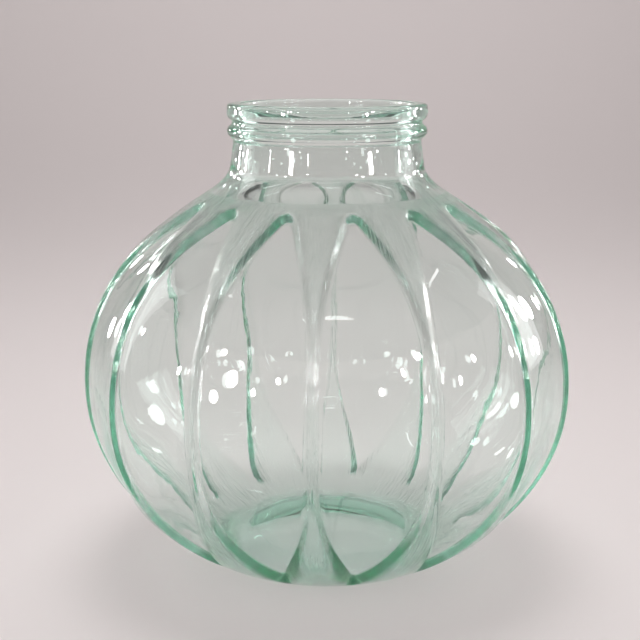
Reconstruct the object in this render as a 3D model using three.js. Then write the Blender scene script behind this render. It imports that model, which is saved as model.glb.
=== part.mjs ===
// Wide-mouthed glass vessel: a squat body with sunk, petal-shaped panels between ribs, a short neck
// and a lip of two rounded rings, all one piece of glass. Millimetres, +Z up, origin on the floor
// at the centre of the foot.

import * as THREE from 'three';

// Body: a meridian along the ribs, turned about Z. It is a rounded arc below and
// above the widest height, and runs on from there as a straight cone up to the neck's fillet.
const BODY_RADIUS = 146;
const WIDEST_Z = 109;
const LOWER_HEIGHT = 121.2;
const LOWER_FULLNESS = 2.02;
const UPPER_HEIGHT = 123.8;
const UPPER_FULLNESS = 2.12;
const CONE_START_Z = 207.5;
const CONE_LENGTH = 26.5;

// Panels: sunk petals with a pointed tip and a slimmer pointed toe, deepest near both ends. The
// wall between them narrows from the shoulder to a thin rib at the widest height.
const PANEL_COUNT = 14;
const PANEL_PITCH = 360 / PANEL_COUNT;
const PANEL_HALF_ANGLE = 12.3;
const PANEL_MIN_ANGLE = 1.9;
const PANEL_EDGE_WIDTH = 2.6;
const PANEL_END_EDGE_WIDTH = 5;
const PANEL_TOE_INSET = 20;
const PANEL_TOE_LENGTH = 110;
const PANEL_TIP_INSET = 5;
const PANEL_TIP_LENGTH = 95;
const PANEL_TIP_POWER = 0.65;
const PANEL_DEPTH = 2.2;
const PANEL_END_DEPTH = 4;
const PANEL_SINK_LENGTH = 8;
const INNER_RELIEF = 0.5;

// Foot and floor.
const FOOT_INNER_RADIUS = 50;
const PUSH_UP_HEIGHT = 6;
const FLOOR_Z = 13;
const FLOOR_RADIUS = 44;

// Neck and lip.
const NECK_ROOT_RADIUS = 57;
const NECK_ROOT_Z = 238;
const NECK_WAIST_RADIUS = 55.2;
const NECK_WAIST_Z = 250.5;
const RING_CENTRE_RADIUS = 54.6;
const RING_CENTRE_Z = 257.7;
const RING_SECTION_RADIUS = 4;
const RING_SWEEP = THREE.MathUtils.degToRad(68);
const LIP_RADIUS = 58.5;
const LIP_BOTTOM_Z = 264;
const LIP_UNDERCUT = 2.9;
const LIP_LOWER_ROUND = 4;
const LIP_UPPER_ROUND = 3.2;
const TOP_Z = 273.6;
const LAND_OUTER_RADIUS = 55.8;
const LAND_INNER_RADIUS = 52.4;
const BORE_RADIUS = 50.6;
const BORE_CHAMFER = 2;

const WALL = 5.3;
const SHOULDER_WALL = 4.6;

// Mesh density.
const EVEN_COLUMNS_PER_PANEL = 4;
const BODY_END_STEPS = [0, 3, 8, 15, 25, 38, 54, 72];
const BODY_MIDDLE_STEPS = 6;
const INNER_STEPS = 14;
const CURVE_STEPS = 4;

const GLASS_COLOUR = 0xbfe0d0;

const { clamp, degToRad, euclideanModulo, lerp, radToDeg, smoothstep } = THREE.MathUtils;
const rise = (length, span) => smoothstep(length, 0, span);
const steps = (count) => Array.from({ length: count }, (_, i) => i);

// One rounded arc of the meridian, from the foot's outer edge to the start of the cone.
class BodyArc extends THREE.Curve {
  constructor() {
    super();
    this.arcLengthDivisions = 800;
    this.startAngle = -BodyArc.angleAt(WIDEST_Z / LOWER_HEIGHT, LOWER_FULLNESS);
    this.endAngle = BodyArc.angleAt((CONE_START_Z - WIDEST_Z) / UPPER_HEIGHT, UPPER_FULLNESS);
  }

  static angleAt(heightRatio, fullness) {
    return Math.asin(heightRatio ** (fullness / 2));
  }

  getPoint(t, target = new THREE.Vector2()) {
    const angle = lerp(this.startAngle, this.endAngle, t);
    const fullness = angle < 0 ? LOWER_FULLNESS : UPPER_FULLNESS;
    const height = angle < 0 ? -LOWER_HEIGHT : UPPER_HEIGHT;
    const radius = BODY_RADIUS * Math.cos(angle) ** (2 / fullness);
    return target.set(radius, WIDEST_Z + height * Math.abs(Math.sin(angle)) ** (2 / fullness));
  }
}

const bodyArc = new BodyArc();
const arcLength = bodyArc.getLength();
const meridianLength = arcLength + CONE_LENGTH;

// A point a given length along the meridian from the foot, and a given depth under it.
function bodyPoint(length, depth) {
  const along = Math.min(length / arcLength, 1);
  const point = bodyArc.getPointAt(along);
  const tangent = bodyArc.getTangentAt(along);
  point.addScaledVector(tangent, Math.max(length - arcLength, 0));
  return new THREE.Vector2(point.x - tangent.y * depth, point.y + tangent.x * depth);
}

const fromToe = (length) => length - PANEL_TOE_INSET;
const fromTip = (length) => meridianLength - PANEL_TIP_INSET - length;

// 0 at a panel's end, rising to 1 a given length from it.
const opening = (length, span) => Math.sin(clamp(length / span, 0, 1) * Math.PI / 2);

// Half the width of a panel, in degrees, out to the middle of its edge.
function panelHalfAngle(length) {
  const tip = opening(fromTip(length), PANEL_TIP_LENGTH) ** PANEL_TIP_POWER;
  const toe = opening(fromToe(length), PANEL_TOE_LENGTH);
  return Math.max(PANEL_HALF_ANGLE * tip * toe, PANEL_MIN_ANGLE);
}

// The width of a panel's sloping edge, in degrees. It is broader near the ends.
function panelEdgeAngle(length) {
  const width = lerp(PANEL_END_EDGE_WIDTH, PANEL_EDGE_WIDTH, panelHalfAngle(length) / PANEL_HALF_ANGLE);
  return radToDeg(width / bodyPoint(length, 0).x);
}

function panelDepth(length) {
  const depth = lerp(PANEL_END_DEPTH, PANEL_DEPTH, panelHalfAngle(length) / PANEL_HALF_ANGLE);
  return depth * rise(Math.min(fromToe(length), fromTip(length)), PANEL_SINK_LENGTH);
}

// How far the outside lies below the ribs, at an angle from a panel's middle.
function relief(length, angle) {
  const beyond = Math.abs(angle) - panelHalfAngle(length);
  return panelDepth(length) * clamp(0.5 - beyond / panelEdgeAngle(length), 0, 1);
}

const offMiddle = (angle) => euclideanModulo(angle + PANEL_PITCH / 2, PANEL_PITCH) - PANEL_PITCH / 2;

const evenAngles = steps(PANEL_COUNT * EVEN_COLUMNS_PER_PANEL)
  .map((i) => i * PANEL_PITCH / EVEN_COLUMNS_PER_PANEL);

// Angles round the body that keep a column on the foot and the top of every panel's edge.
function panelAngles(length) {
  const rib = PANEL_PITCH / 2;
  const foot = panelHalfAngle(length) - panelEdgeAngle(length) / 2;
  const top = Math.min(panelHalfAngle(length) + panelEdgeAngle(length) / 2, rib - 0.1);
  const half = [0.55 * foot, foot, top];
  const panel = [0, ...half, rib, ...half.map((angle) => PANEL_PITCH - angle).reverse()];
  return steps(PANEL_COUNT).flatMap((i) => panel.map((angle) => angle + i * PANEL_PITCH));
}

function toRing(angles, pointAt) {
  return angles.map((angle) => {
    const { x: radius, y: z } = pointAt(angle);
    const turn = degToRad(angle);
    return new THREE.Vector3(radius * Math.cos(turn), radius * Math.sin(turn), z);
  });
}

const roundRing = (point) => toRing(evenAngles, () => point);

// The underside: a shallow push-up inside a flat foot ring.
function undersideRings() {
  const dome = new THREE.Path()
    .moveTo(0, PUSH_UP_HEIGHT)
    .quadraticCurveTo(0.75 * FOOT_INNER_RADIUS, PUSH_UP_HEIGHT, FOOT_INNER_RADIUS, 0);
  return dome.getPoints(CURVE_STEPS).slice(1).map(roundRing);
}

function outerBodyRings() {
  const panelEnd = meridianLength - PANEL_TIP_INSET;
  const firstMiddle = PANEL_TOE_INSET + BODY_END_STEPS.at(-1);
  const middleStep = (panelEnd - BODY_END_STEPS.at(-1) - firstMiddle) / (BODY_MIDDLE_STEPS + 1);
  const lengths = [
    ...BODY_END_STEPS.map((step) => PANEL_TOE_INSET + step),
    ...steps(BODY_MIDDLE_STEPS).map((i) => firstMiddle + middleStep * (i + 1)),
    ...BODY_END_STEPS.map((step) => panelEnd - step).reverse(),
  ];
  const panelled = lengths.map((length) =>
    toRing(panelAngles(length), (angle) => bodyPoint(length, relief(length, offMiddle(angle)))));
  const toe = [0, PANEL_TOE_INSET / 2].map((length) => roundRing(bodyPoint(length, 0)));
  return [...toe, ...panelled, roundRing(bodyPoint(meridianLength, 0))];
}

// Fillet, neck, ring and lip, up to the inner edge of the flat land on top.
function outerNeckRings() {
  const start = bodyPoint(meridianLength, 0);
  const outline = new THREE.Path()
    .moveTo(start.x, start.y)
    .quadraticCurveTo(NECK_ROOT_RADIUS + 0.6, NECK_ROOT_Z - 7.4, NECK_ROOT_RADIUS, NECK_ROOT_Z)
    .lineTo(NECK_WAIST_RADIUS, NECK_WAIST_Z)
    .absarc(RING_CENTRE_RADIUS, RING_CENTRE_Z, RING_SECTION_RADIUS, -RING_SWEEP, RING_SWEEP)
    .lineTo(LIP_RADIUS - LIP_UNDERCUT, LIP_BOTTOM_Z)
    .quadraticCurveTo(LIP_RADIUS, LIP_BOTTOM_Z, LIP_RADIUS, LIP_BOTTOM_Z + LIP_LOWER_ROUND)
    .lineTo(LIP_RADIUS, TOP_Z - LIP_UPPER_ROUND)
    .quadraticCurveTo(LIP_RADIUS, TOP_Z, LAND_OUTER_RADIUS, TOP_Z)
    .lineTo(LAND_INNER_RADIUS, TOP_Z);
  return outline.getPoints(CURVE_STEPS).slice(1).map(roundRing);
}

// Down the bore to the underside of the shoulder.
function innerNeckRings() {
  const end = bodyPoint(meridianLength, SHOULDER_WALL);
  const outline = new THREE.Path()
    .moveTo(LAND_INNER_RADIUS, TOP_Z)
    .quadraticCurveTo(BORE_RADIUS, TOP_Z, BORE_RADIUS, TOP_Z - BORE_CHAMFER)
    .lineTo(BORE_RADIUS, NECK_WAIST_Z)
    .quadraticCurveTo(BORE_RADIUS + 0.5, NECK_ROOT_Z - 10, end.x, end.y);
  return outline.getPoints(CURVE_STEPS).slice(1).map(roundRing);
}

// The inner wall follows the panels softly, then turns into the floor.
function innerBodyRings() {
  const lengths = steps(INNER_STEPS).map((i) => meridianLength * (1 - (i + 1) / (INNER_STEPS + 1)));
  const wall = lengths.map((length) => {
    const nearShoulder = rise(length - 0.8 * meridianLength, 0.2 * meridianLength);
    const thickness = lerp(WALL, SHOULDER_WALL, nearShoulder);
    return toRing(evenAngles, (angle) =>
      bodyPoint(length, thickness + INNER_RELIEF * relief(length, offMiddle(angle))));
  });
  return [...wall, roundRing(new THREE.Vector2(FLOOR_RADIUS, FLOOR_Z))];
}

// Triangles between two closed rings, which may hold different numbers of points.
function bridge(indices, lower, upper) {
  const at = (ring, i) => ring.start + i % ring.count;
  let i = 0;
  let j = 0;
  while (i < lower.count || j < upper.count) {
    if ((i + 1) / lower.count <= (j + 1) / upper.count) {
      indices.push(at(lower, i), at(lower, i + 1), at(upper, j));
      i++;
    } else {
      indices.push(at(lower, i), at(upper, j + 1), at(upper, j));
      j++;
    }
  }
}

// A closed skin through the rings, capped by a point on the axis at each end.
function skin(startZ, rings, endZ) {
  const positions = [0, 0, startZ];
  const spans = rings.map((ring) => {
    const start = positions.length / 3;
    ring.forEach((point) => positions.push(...point));
    return { start, count: ring.length };
  });
  const endIndex = positions.length / 3;
  positions.push(0, 0, endZ);

  const indices = [];
  const [first, last] = [spans[0], spans.at(-1)];
  steps(first.count).forEach((i) =>
    indices.push(0, first.start + (i + 1) % first.count, first.start + i));
  spans.slice(1).forEach((upper, i) => bridge(indices, spans[i], upper));
  steps(last.count).forEach((i) =>
    indices.push(last.start + i, last.start + (i + 1) % last.count, endIndex));

  const geometry = new THREE.BufferGeometry();
  geometry.setAttribute('position', new THREE.Float32BufferAttribute(positions, 3));
  geometry.setIndex(indices);
  geometry.computeVertexNormals();
  return geometry;
}

function glassVessel() {
  const rings = [
    ...undersideRings(),
    ...outerBodyRings(),
    ...outerNeckRings(),
    ...innerNeckRings(),
    ...innerBodyRings(),
  ];
  const glass = new THREE.MeshStandardMaterial({
    color: GLASS_COLOUR,
    roughness: 0.05,
    metalness: 0,
    transparent: true,
    opacity: 0.35,
  });
  const vessel = new THREE.Mesh(skin(PUSH_UP_HEIGHT, rings, FLOOR_Z), glass);
  vessel.name = 'glass_vessel';
  return vessel;
}

const part = new THREE.Group();
part.add(glassVessel());

export default part;
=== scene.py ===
import math

import bpy
import numpy as np
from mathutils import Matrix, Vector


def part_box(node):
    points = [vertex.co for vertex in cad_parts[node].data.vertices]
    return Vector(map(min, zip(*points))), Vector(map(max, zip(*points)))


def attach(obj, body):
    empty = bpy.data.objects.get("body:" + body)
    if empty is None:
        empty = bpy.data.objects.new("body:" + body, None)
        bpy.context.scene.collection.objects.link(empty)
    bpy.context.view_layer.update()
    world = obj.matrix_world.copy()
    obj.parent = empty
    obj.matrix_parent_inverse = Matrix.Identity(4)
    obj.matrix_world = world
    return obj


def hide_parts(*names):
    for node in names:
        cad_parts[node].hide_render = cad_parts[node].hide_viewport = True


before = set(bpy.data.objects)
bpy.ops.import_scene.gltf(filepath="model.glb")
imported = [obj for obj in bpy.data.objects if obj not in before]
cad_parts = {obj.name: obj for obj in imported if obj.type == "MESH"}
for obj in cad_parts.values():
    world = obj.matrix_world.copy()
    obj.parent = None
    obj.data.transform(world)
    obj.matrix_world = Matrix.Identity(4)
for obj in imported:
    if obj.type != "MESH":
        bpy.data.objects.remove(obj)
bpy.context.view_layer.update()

# Driving dimensions, in metres and degrees. The outside sizes come from the frame.
low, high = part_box("glass_vessel")
BODY_RADIUS = max(high.x, high.y) - 0.0002
TOP_Z = high.z
WIDEST_Z = 0.109
LOWER_HEIGHT = 0.1212
LOWER_FULLNESS = 2.02
UPPER_HEIGHT = 0.1238
UPPER_FULLNESS = 2.12
CONE_START_Z = 0.2075
CONE_LENGTH = 0.0265

PANELS = 14
PITCH = 360 / PANELS
PANEL_HALF_ANGLE = 12.3
PANEL_MIN_ANGLE = 1.6
PANEL_TOE_INSET = 0.020
PANEL_TOE_LENGTH = 0.110
PANEL_TIP_INSET = 0.005
PANEL_TIP_LENGTH = 0.095
PANEL_TIP_POWER = 0.65
PANEL_DEPTH = 0.0022
PANEL_END_DEPTH = 0.0040
PANEL_SINK_LENGTH = 0.007
PANEL_EDGE_WIDTH = 0.0036
PANEL_END_EDGE_WIDTH = 0.0050
PANEL_EDGE_ROUNDING = 0.08
INNER_RELIEF = 0.2
INNER_SINK_LENGTH = 0.045

FOOT_INNER_RADIUS = 0.050
PUSH_UP_HEIGHT = 0.006
FLOOR_Z = 0.013
FLOOR_RADIUS = 0.044
WALL = 0.0053
SHOULDER_WALL = 0.0046
# The wall gets thinner over this last share of the body, up to the shoulder.
THINNING_SHARE = 0.2
HEEL_LENGTH = 0.006
BORE_RADIUS = 0.0506

# The inside has faint ripples of this height and wavelength.
RIPPLE_HEIGHT = 0.00005
RIPPLE_LENGTH = 0.045
RIPPLE_SEED = 7
RIPPLE_WAVES = 24

# The camera. Its azimuth and pitch are in degrees, and its lens and sensor in millimetres.
VIEW_AZIMUTH = -86.8
CAMERA_DISTANCE = 0.700
CAMERA_HEIGHT = 0.304
CAMERA_SIDE = -0.0042
CAMERA_PITCH = 12.9
SENSOR_WIDTH = 36
LENS = 66.566

# The floor is flat out to FLOOR_EDGE and curves up to a wall at WALL_DISTANCE.
FLOOR_EDGE = 1.2
WALL_DISTANCE = 2.9
WALL_START = 1.2
WALL_TOP = 1.7
STAGE_COLUMNS = 96
STAGE_GAP = 0.0002

# Small lamps that make the highlights: groups by their azimuth round the object, and in each
# group the lamps' azimuth from the group's, height, width and tallness.
LAMP_GROUPS = {"left": -133, "right": -40, "left_back": 150, "right_back": 30}
LAMPS = [
    (-3, 0.22, 0.10, 0.16),
    (4, 0.50, 0.14, 0.24),
    (-4, 0.86, 0.09, 0.12),
    (14, 0.36, 0.05, 0.12),
    (-13, 0.64, 0.05, 0.14),
    (24, 0.56, 0.05, 0.10),
    (-24, 0.40, 0.05, 0.12),
]
LAMP_DISTANCE = 1.5
LAMP_POWER_PER_AREA = 150
# Tall strips behind the glass on both sides, for broad soft highlights near its edges.
STRIPS = {"left_strip": 162, "right_strip": 24}
STRIP_HEIGHT = 0.6
STRIP_SIZE = (0.5, 1.1)
STRIP_POWER_PER_AREA = 6
# Overhead lamps light the floor. Part of their light ignores the glass, for a soft shadow.
OVERHEAD_POWER = 3
THROUGH_GLASS_POWER = 5
OVERHEAD_HEIGHT = 1.8
OVERHEAD_SPREAD = 100
# Washes on the wall: one on each side of the object, the first behind it.
WASH_POWERS = (21, 7.5, 7.5, 7.5)
WASH_DISTANCE = 1.3
WASH_HEIGHT = 1.9
WASH_REACH = 1.5
WASH_DROP = 1.4

# Columns of points: shares of the way across half a panel's face, and counts.
FACE_COLUMNS = (0, 0.4, 0.72, 0.93)
EDGE_COLUMNS = 5
RIB_COLUMNS = 2
INNER_COLUMNS = 16 * PANELS
INNER_RINGS = 84
RELAX_RINGS = 20


def smooth(x):
    x = np.clip(x, 0, 1)
    return x * x * (3 - 2 * x)


def bevel(x):
    """A straight slope from 0 to 1 with its two corners rounded."""
    x = np.clip(x, 0, 1)
    r = PANEL_EDGE_ROUNDING
    bend = 2 * r * (1 - r)
    upper = np.where(x > 1 - r, 1 - (1 - x) ** 2 / bend, (x - r / 2) / (1 - r))
    return np.where(x < r, x * x / bend, upper)


def quadratic(start, control, end, steps):
    """Points after start on a quadratic curve."""
    t = np.linspace(0, 1, steps + 1)[1:, None]
    start, control, end = (np.array(p, float) for p in (start, control, end))
    return (1 - t) ** 2 * start + 2 * t * (1 - t) * control + t ** 2 * end


def straight(start, end, steps):
    t = np.linspace(0, 1, steps + 1)[1:, None]
    return (1 - t) * np.array(start, float) + t * np.array(end, float)


def arc(centre, radius, first, last, steps):
    """Points on an arc, both ends included. Angles are in degrees from outwards to up."""
    angle = np.radians(np.linspace(first, last, steps + 1))
    return np.array(centre) + radius * np.stack([np.cos(angle), np.sin(angle)], 1)


def meridian(samples=4000, cone_samples=200):
    """The body's outline along the ribs: lengths, points and outward normals."""
    first = -math.asin((WIDEST_Z / LOWER_HEIGHT) ** (LOWER_FULLNESS / 2))
    last = math.asin(((CONE_START_Z - WIDEST_Z) / UPPER_HEIGHT) ** (UPPER_FULLNESS / 2))
    angle = np.linspace(first, last, samples)
    fullness = np.where(angle < 0, LOWER_FULLNESS, UPPER_FULLNESS)
    height = np.where(angle < 0, -LOWER_HEIGHT, UPPER_HEIGHT)
    radius = BODY_RADIUS * np.cos(angle) ** (2 / fullness)
    z = WIDEST_Z + height * np.abs(np.sin(angle)) ** (2 / fullness)
    points = np.stack([radius, z], 1)
    slope = points[-1] - points[-2]
    cone = points[-1] + slope / np.hypot(*slope) * np.linspace(0, CONE_LENGTH, cone_samples)[1:, None]
    points = np.concatenate([points, cone])
    lengths = np.concatenate([[0], np.cumsum(np.hypot(*np.diff(points, axis=0).T))])
    tangents = np.gradient(points, lengths, axis=0)
    normals = np.stack([tangents[:, 1], -tangents[:, 0]], 1)
    normals /= np.hypot(*normals.T)[:, None]
    return lengths, points, normals


BODY_LENGTHS, BODY_POINTS, BODY_NORMALS = meridian()
BODY_LENGTH = BODY_LENGTHS[-1]


def along_body(lengths, table):
    return np.stack([np.interp(lengths, BODY_LENGTHS, table[:, i]) for i in (0, 1)], -1)


def from_toe(lengths):
    return lengths - PANEL_TOE_INSET


def from_tip(lengths):
    return BODY_LENGTH - PANEL_TIP_INSET - lengths


def opening(lengths, span):
    """0 at a panel's end, rising to 1 a given length from it."""
    return np.sin(np.clip(lengths / span, 0, 1) * math.pi / 2)


def panel_half_angle(lengths):
    tip = opening(from_tip(lengths), PANEL_TIP_LENGTH) ** PANEL_TIP_POWER
    toe = opening(from_toe(lengths), PANEL_TOE_LENGTH)
    return np.maximum(PANEL_HALF_ANGLE * tip * toe, PANEL_MIN_ANGLE)


def from_middle_to_end(lengths, middle, end):
    """A size that changes with the panel's width, from its widest place to its ends."""
    return end + (middle - end) * panel_half_angle(lengths) / PANEL_HALF_ANGLE


def edge_angle(lengths):
    """The width of a panel's sloping edge, in degrees. It is broader near the ends."""
    width = from_middle_to_end(lengths, PANEL_EDGE_WIDTH, PANEL_END_EDGE_WIDTH)
    return np.degrees(width / along_body(lengths, BODY_POINTS)[..., 0])


def panel_depth(lengths, sink_length):
    ends = smooth(np.minimum(from_toe(lengths), from_tip(lengths)) / sink_length)
    return ends * from_middle_to_end(lengths, PANEL_DEPTH, PANEL_END_DEPTH)


def across_edge(lengths, angles):
    """0 at the foot of a panel's edge and 1 at its top. Angles are from a panel's middle."""
    return (np.abs(angles) - panel_half_angle(lengths)) / edge_angle(lengths) + 0.5


def outer_relief(lengths, angles):
    """How far the outside lies below the ribs."""
    return panel_depth(lengths, PANEL_SINK_LENGTH) * (1 - bevel(across_edge(lengths, angles)))


def inner_relief(lengths, angles):
    """How far the inside is pushed in behind the panels: a soft wave."""
    wave = (1 + np.cos(np.radians(PANELS * angles))) / 2
    return INNER_RELIEF * panel_depth(lengths, INNER_SINK_LENGTH) * wave


def off_middle(angles):
    """Angles from the middle of the nearest panel."""
    return (angles + PITCH / 2) % PITCH - PITCH / 2


def span(start, end, shares):
    """Columns at given shares of the way from start to end."""
    return start + np.asarray(shares)[None, :] * (end - start)


def even(count):
    return np.arange(count) / count


def outer_angles(lengths):
    """For each ring, columns that follow the edges of the panels."""
    half = panel_half_angle(lengths)[:, None]
    edge = edge_angle(lengths)[:, None]
    foot = np.maximum(half - edge / 2, 0.4 * half)
    top = np.minimum(half + edge / 2, 0.5 * (half + PITCH / 2))
    rib = np.full_like(half, PITCH / 2)
    columns = np.concatenate([
        span(0, foot, FACE_COLUMNS),
        span(foot, top, even(EDGE_COLUMNS)),
        span(top, rib, even(RIB_COLUMNS)),
    ], 1)
    mirrored = PITCH - np.concatenate([columns[:, 1:], rib], 1)[:, ::-1]
    panel = np.concatenate([columns, mirrored], 1)
    return np.concatenate([panel + i * PITCH for i in range(PANELS)], 1)


def ripples(points):
    """A smooth, seeded random field of about unit size, from a sum of plane waves."""
    rng = np.random.default_rng(RIPPLE_SEED)
    directions = rng.normal(size=(RIPPLE_WAVES, 3))
    directions /= np.linalg.norm(directions, axis=1)[:, None]
    turns = 2 * math.pi / (RIPPLE_LENGTH * rng.uniform(0.7, 1.5, RIPPLE_WAVES))
    phases = rng.uniform(0, 2 * math.pi, RIPPLE_WAVES)
    field = np.zeros(points.shape[:-1])
    for direction, turn, phase in zip(directions, turns, phases):
        field += np.cos(points @ (direction * turn) + phase)
    return field * math.sqrt(2 / RIPPLE_WAVES)


def revolve(outline, angles):
    """Rings of points (radius, z) turned to their angles."""
    turn = np.radians(angles)
    return np.stack([
        outline[..., 0] * np.cos(turn),
        outline[..., 0] * np.sin(turn),
        np.broadcast_to(outline[..., 1], turn.shape),
    ], -1)


def revolve_evenly(outline, angles):
    """Every point of an outline turned to the same angles."""
    return revolve(outline[:, None, :], np.broadcast_to(angles, (len(outline), len(angles))))


def body_rings(lengths, angles, depth):
    """Rings at a depth below the crests of the ribs."""
    crest = revolve(along_body(lengths, BODY_POINTS)[:, None, :], angles)
    normal = revolve(along_body(lengths, BODY_NORMALS)[:, None, :], angles)
    return crest - normal * depth[..., None]


def underside_rings(angles):
    shoulder = (0.75 * FOOT_INNER_RADIUS, PUSH_UP_HEIGHT)
    dome = quadratic((0, PUSH_UP_HEIGHT), shoulder, (FOOT_INNER_RADIUS, 0), 8)
    return revolve_evenly(dome, angles)


def outer_lengths():
    """Where the outer rings lie along the body. They are closer together at the panels' ends."""
    toe_end = 0.050
    tip = BODY_LENGTH - PANEL_TIP_INSET
    tip_start = tip - 0.040
    return np.concatenate([
        np.linspace(0, PANEL_TOE_INSET, 7)[:-1],
        np.linspace(PANEL_TOE_INSET, toe_end, 22)[:-1],
        np.linspace(toe_end, tip_start, 62)[:-1],
        np.linspace(tip_start, tip, 38)[:-1],
        np.linspace(tip, BODY_LENGTH, 3),
    ])


def neck_outline():
    return np.concatenate([
        quadratic(BODY_POINTS[-1], (0.0576, 0.2306), (0.057, 0.238), 14),
        straight((0.057, 0.238), (0.0552, 0.2505), 6),
        quadratic((0.0552, 0.2505), (0.0550, 0.2532), (0.0564, 0.2540), 3),
        arc((0.0546, 0.2577), 0.004, -62, 62, 12),
        quadratic((0.0565, 0.2612), (0.0551, 0.2627), (0.0560, 0.2640), 4),
        quadratic((0.0560, 0.2640), (0.0585, 0.2648), (0.0585, 0.268), 6),
        straight((0.0585, 0.268), (0.0585, TOP_Z - 0.0032), 2),
        quadratic((0.0585, TOP_Z - 0.0032), (0.0585, TOP_Z), (0.0558, TOP_Z), 7),
        straight((0.0558, TOP_Z), (0.0524, TOP_Z), 2),
    ])


def bore_outline():
    end = BODY_POINTS[-1] - BODY_NORMALS[-1] * SHOULDER_WALL
    return np.concatenate([
        quadratic((0.0524, TOP_Z), (BORE_RADIUS, TOP_Z), (BORE_RADIUS, TOP_Z - 0.002), 5),
        straight((BORE_RADIUS, TOP_Z - 0.002), (BORE_RADIUS, 0.2505), 8),
        quadratic((BORE_RADIUS, 0.2505), (BORE_RADIUS + 0.0005, 0.228), end, 14),
    ])


def inner_body_rings(columns):
    """The inside, from the shoulder down to the heel."""
    lengths = np.linspace(BODY_LENGTH, HEEL_LENGTH, INNER_RINGS)[1:]
    angles = np.broadcast_to(columns, (len(lengths), len(columns)))
    thinning = smooth(1 - (BODY_LENGTH - lengths) / (THINNING_SHARE * BODY_LENGTH))
    wall = WALL + (SHOULDER_WALL - WALL) * thinning
    depth = wall[:, None] + inner_relief(lengths[:, None], off_middle(angles))
    crest = revolve(along_body(lengths, BODY_POINTS)[:, None, :], angles)
    return body_rings(lengths, angles, depth + RIPPLE_HEIGHT * ripples(crest))


def floor_outline(heel):
    """From the last ring of the inside to the middle of the floor."""
    heel_radius = np.hypot(heel[:, 0], heel[:, 1]).mean()
    return np.concatenate([
        quadratic((heel_radius, heel[:, 2].mean()), (0.060, FLOOR_Z), (FLOOR_RADIUS, FLOOR_Z), 8),
        straight((FLOOR_RADIUS, FLOOR_Z), (0.004, FLOOR_Z), 8),
    ])


def stitch(lower, upper, lower_count, upper_count):
    """Triangles between two closed rings with different numbers of points."""
    faces = []
    i = j = 0
    while i < lower_count or j < upper_count:
        a, b = lower + i % lower_count, upper + j % upper_count
        if (i + 1) / lower_count <= (j + 1) / upper_count:
            i += 1
            faces.append((a, lower + i % lower_count, b))
        else:
            j += 1
            faces.append((a, upper + j % upper_count, b))
    return faces


def relax(angles, rings):
    """Rings that pass from the given columns to evenly spaced ones."""
    change = smooth(np.arange(1, rings + 1) / RELAX_RINGS)[:, None]
    return angles + change * (np.linspace(0, 360, len(angles), endpoint=False) - angles)


def mark_ribs(mesh, first, angles, lengths):
    """A value for each point of the mesh: 1 on the ribs and the panels' edges, 0 elsewhere."""
    values = np.zeros(len(mesh.vertices))
    on_rib = smooth(across_edge(lengths[:, None], off_middle(angles)) + 0.5)
    values[first:first + on_rib.size] = on_rib.ravel()
    mesh.attributes.new("rib", "FLOAT", "POINT").data.foreach_set("value", values)


def quads(start, rings, columns):
    """Faces between rings of points that follow each other in the mesh."""
    i = np.arange(columns)
    after = (i + 1) % columns
    ring = start + np.arange(rings - 1)[:, None] * columns
    corners = [ring + i, ring + after, ring + columns + after, ring + columns + i]
    return np.stack(corners, -1).reshape(-1, 4).tolist()


def glass_mesh():
    """One closed skin: underside, body and neck outside, then bore, body and floor inside."""
    lengths = outer_lengths()
    angles = outer_angles(lengths)
    columns = angles.shape[1]
    under = underside_rings(angles[0])
    body = body_rings(lengths, angles, outer_relief(lengths[:, None], off_middle(angles)))
    neck = neck_outline()
    neck_rings = revolve(neck[:, None, :], relax(angles[-1], len(neck)))
    outer = np.concatenate([under, body, neck_rings])

    inner_angles = np.linspace(0, 360, INNER_COLUMNS, endpoint=False)
    inner_body = inner_body_rings(inner_angles)
    inner = np.concatenate([
        revolve_evenly(bore_outline(), inner_angles),
        inner_body,
        revolve_evenly(floor_outline(inner_body[-1]), inner_angles),
    ])

    under_middle = [[0, 0, PUSH_UP_HEIGHT]]
    floor_middle = [[0, 0, FLOOR_Z]]
    points = np.concatenate([under_middle, outer.reshape(-1, 3), inner.reshape(-1, 3), floor_middle])
    outer_start = 1
    inner_start = outer_start + len(outer) * columns
    last = len(points) - 1
    last_ring = last - INNER_COLUMNS

    faces = [(0, outer_start + (i + 1) % columns, outer_start + i) for i in range(columns)]
    faces += quads(outer_start, len(outer), columns)
    faces += stitch(inner_start - columns, inner_start, columns, INNER_COLUMNS)
    faces += quads(inner_start, len(inner), INNER_COLUMNS)
    faces += [(last_ring + i, last_ring + (i + 1) % INNER_COLUMNS, last) for i in range(INNER_COLUMNS)]

    mesh = bpy.data.meshes.new("glass_vessel_fine")
    mesh.from_pydata(points.tolist(), [], faces)
    mesh.polygons.foreach_set("use_smooth", np.ones(len(mesh.polygons), bool))
    mesh.validate()
    mesh.update()
    mark_ribs(mesh, outer_start + len(under) * columns, angles, lengths)
    return mesh


def node(tree, kind, **values):
    made = tree.nodes.new(kind)
    for name, value in values.items():
        made.inputs[name].default_value = value
    return made


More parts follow.
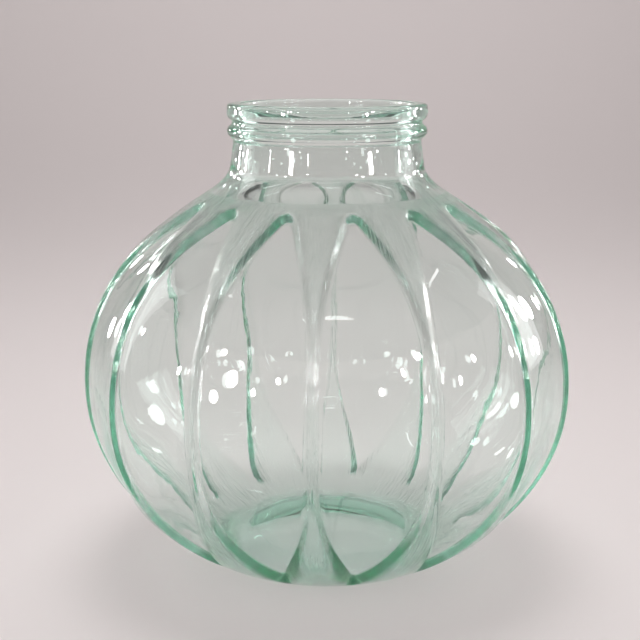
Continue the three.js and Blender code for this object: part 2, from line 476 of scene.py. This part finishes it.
def glass_material():
    """Clear glass with a green body colour, and faint ripples from the mould and the blowing."""
    material = bpy.data.materials.new("aqua_glass")
    material.use_nodes = True
    tree = material.node_tree
    tree.nodes.clear()
    output = node(tree, "ShaderNodeOutputMaterial")
    shader = node(tree, "ShaderNodeBsdfPrincipled", **{
        "Base Color": (1.0, 1.0, 1.0, 1),
        "Roughness": 0.0,
        "IOR": 1.5,
        "Transmission Weight": 1.0,
    })
    place = node(tree, "ShaderNodeTexCoord")
    broad = node(tree, "ShaderNodeTexNoise", Scale=60.0, Detail=1.0, Roughness=0.4)
    fine = node(tree, "ShaderNodeTexNoise", Scale=150.0, Detail=1.0, Roughness=0.5)
    broad_bump = node(tree, "ShaderNodeBump", Strength=1.0, Distance=0.00006)
    fine_bump = node(tree, "ShaderNodeBump", Strength=1.0, Distance=0.000015)
    tint = node(tree, "ShaderNodeVolumeAbsorption", Color=(0.06, 0.79, 0.54, 1), Density=18.0)
    for noise in (broad, fine):
        tree.links.new(place.outputs["Object"], noise.inputs["Vector"])
    tree.links.new(broad.outputs["Fac"], broad_bump.inputs["Height"])
    tree.links.new(fine.outputs["Fac"], fine_bump.inputs["Height"])
    tree.links.new(broad_bump.outputs["Normal"], fine_bump.inputs["Normal"])

    # Fine lines along the ribs: noise by the angle round the axis, stretched up the wall.
    flat = node(tree, "ShaderNodeVectorMath")
    flat.operation = "MULTIPLY"
    flat.inputs[1].default_value = (1, 1, 0)
    round_axis = node(tree, "ShaderNodeVectorMath")
    round_axis.operation = "NORMALIZE"
    upwards = node(tree, "ShaderNodeVectorMath")
    upwards.operation = "MULTIPLY_ADD"
    upwards.inputs[1].default_value = (0, 0, 0.5)
    lines = node(tree, "ShaderNodeTexNoise", Scale=140.0, Detail=2.0, Roughness=0.6)
    rib = node(tree, "ShaderNodeAttribute")
    rib.attribute_name = "rib"
    lines_bump = node(tree, "ShaderNodeBump", Distance=0.0003)
    tree.links.new(place.outputs["Object"], flat.inputs[0])
    tree.links.new(flat.outputs[0], round_axis.inputs[0])
    tree.links.new(place.outputs["Object"], upwards.inputs[0])
    tree.links.new(round_axis.outputs[0], upwards.inputs[2])
    tree.links.new(upwards.outputs[0], lines.inputs["Vector"])
    tree.links.new(lines.outputs["Fac"], lines_bump.inputs["Height"])
    tree.links.new(rib.outputs["Fac"], lines_bump.inputs["Strength"])
    tree.links.new(fine_bump.outputs["Normal"], lines_bump.inputs["Normal"])
    tree.links.new(lines_bump.outputs["Normal"], shader.inputs["Normal"])
    tree.links.new(shader.outputs["BSDF"], output.inputs["Surface"])
    tree.links.new(tint.outputs["Volume"], output.inputs["Volume"])
    return material


def plain_material(name, colour, roughness):
    material = bpy.data.materials.new(name)
    material.use_nodes = True
    shader = material.node_tree.nodes["Principled BSDF"]
    shader.inputs["Base Color"].default_value = (*colour, 1)
    shader.inputs["Roughness"].default_value = roughness
    return material


def camera():
    turn = math.radians(VIEW_AZIMUTH)
    towards = np.array([math.cos(turn), math.sin(turn)])
    right = np.array([-towards[1], towards[0]])
    place = CAMERA_DISTANCE * towards + CAMERA_SIDE * right
    data = bpy.data.cameras.new("camera")
    data.sensor_width = SENSOR_WIDTH
    data.lens = LENS
    made = bpy.data.objects.new("camera", data)
    made.location = (*place, CAMERA_HEIGHT)
    made.rotation_euler = (math.radians(90 - CAMERA_PITCH), 0, math.radians(VIEW_AZIMUTH + 90))
    bpy.context.scene.collection.objects.link(made)
    bpy.context.scene.camera = made


def softbox(name, azimuth, distance, height, size, power, shape="RECTANGLE"):
    """An area light that looks at the middle of the body."""
    data = bpy.data.lights.new(name, "AREA")
    data.shape = shape
    data.size, data.size_y = size
    data.energy = power
    made = bpy.data.objects.new(name, data)
    turn = math.radians(azimuth)
    made.location = (distance * math.cos(turn), distance * math.sin(turn), height)
    made.rotation_euler = (math.atan2(distance, height - WIDEST_Z), 0, turn + math.radians(90))
    bpy.context.scene.collection.objects.link(made)
    return made


def backdrop():
    """A round floor that curves up into a wall on every side, so that no view shows an edge."""
    bend = quadratic((FLOOR_EDGE, 0), (WALL_DISTANCE, 0), (WALL_DISTANCE, WALL_START), 24)
    outline = np.concatenate([[(FLOOR_EDGE, 0)], bend, [(WALL_DISTANCE, WALL_TOP)]])
    rings = revolve_evenly(outline, np.linspace(0, 360, STAGE_COLUMNS, endpoint=False))
    points = np.concatenate([[(0, 0, 0)], rings.reshape(-1, 3)])
    faces = [(0, 1 + i, 1 + (i + 1) % STAGE_COLUMNS) for i in range(STAGE_COLUMNS)]
    faces += [face[::-1] for face in quads(1, len(outline), STAGE_COLUMNS)]
    mesh = bpy.data.meshes.new("sweep")
    mesh.from_pydata(points.tolist(), [], faces)
    mesh.polygons.foreach_set("use_smooth", np.ones(len(mesh.polygons), bool))
    sweep = bpy.data.objects.new("sweep", mesh)
    mesh.materials.append(plain_material("pale_floor", (0.74, 0.68, 0.675), 0.6))
    bpy.context.scene.collection.objects.link(sweep)
    sweep.location.z = -STAGE_GAP
    return sweep


def world_light():
    world = bpy.data.worlds.new("studio")
    world.use_nodes = True
    background = world.node_tree.nodes["Background"]
    background.inputs["Color"].default_value = (1.0, 0.98, 0.97, 1)
    background.inputs["Strength"].default_value = 0.12
    bpy.context.scene.world = world


def group(name, *members):
    """A collection outside the scene, that says what a lamp lights or is blocked by."""
    made = bpy.data.collections.new(name)
    for member in members:
        made.objects.link(member)
    return made


def highlight_lamps(shiny):
    """Lamps that light only the glass."""
    for side, azimuth in LAMP_GROUPS.items():
        for number, (offset, height, wide, tall) in enumerate(LAMPS):
            name = f"{side}_{number}"
            power = LAMP_POWER_PER_AREA * wide * tall
            lamp = softbox(name, azimuth + offset, LAMP_DISTANCE, height, (wide, tall), power, "ELLIPSE")
            lamp.light_linking.receiver_collection = shiny
    for name, azimuth in STRIPS.items():
        power = STRIP_POWER_PER_AREA * STRIP_SIZE[0] * STRIP_SIZE[1]
        strip = softbox(name, azimuth, LAMP_DISTANCE, STRIP_HEIGHT, STRIP_SIZE, power)
        strip.light_linking.receiver_collection = shiny


def overhead_lamps(matt, nothing):
    """Lamps that light only the floor. The glass doesn't block the second one."""
    kinds = [("overhead", OVERHEAD_POWER, None), ("through_glass", THROUGH_GLASS_POWER, nothing)]
    for name, power, blockers in kinds:
        overhead = softbox(name, 90, 0.2, OVERHEAD_HEIGHT, (0.8, 0.8), power)
        overhead.data.spread = math.radians(OVERHEAD_SPREAD)
        overhead.light_linking.receiver_collection = matt
        overhead.light_linking.blocker_collection = blockers


def wall_washes():
    """Lamps over the object that look outwards and down at the wall."""
    tilt = math.atan2(-WASH_REACH, WASH_DROP)
    for side, power in enumerate(WASH_POWERS):
        azimuth = VIEW_AZIMUTH + 180 + 90 * side
        wash = softbox(f"wall_wash_{side}", azimuth, WASH_DISTANCE, WASH_HEIGHT, (0.8, 0.3), power)
        wash.rotation_euler = (tilt, 0, math.radians(azimuth + 90))


def studio(vessel, sweep):
    world_light()
    highlight_lamps(group("shiny", vessel))
    overhead_lamps(group("matt", sweep), group("nothing", sweep))
    wall_washes()


def light_paths():
    cycles = bpy.context.scene.cycles
    cycles.max_bounces = 40
    cycles.glossy_bounces = 24
    cycles.transmission_bounces = 32
    cycles.diffuse_bounces = 4
    cycles.volume_bounces = 0


bpy.context.scene.view_settings.view_transform = "Standard"
light_paths()
camera()
mesh = glass_mesh()
mesh.materials.append(glass_material())
vessel = bpy.data.objects.new("glass_vessel_lobed", mesh)
bpy.context.scene.collection.objects.link(vessel)
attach(vessel, "root")
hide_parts("glass_vessel")
studio(vessel, backdrop())
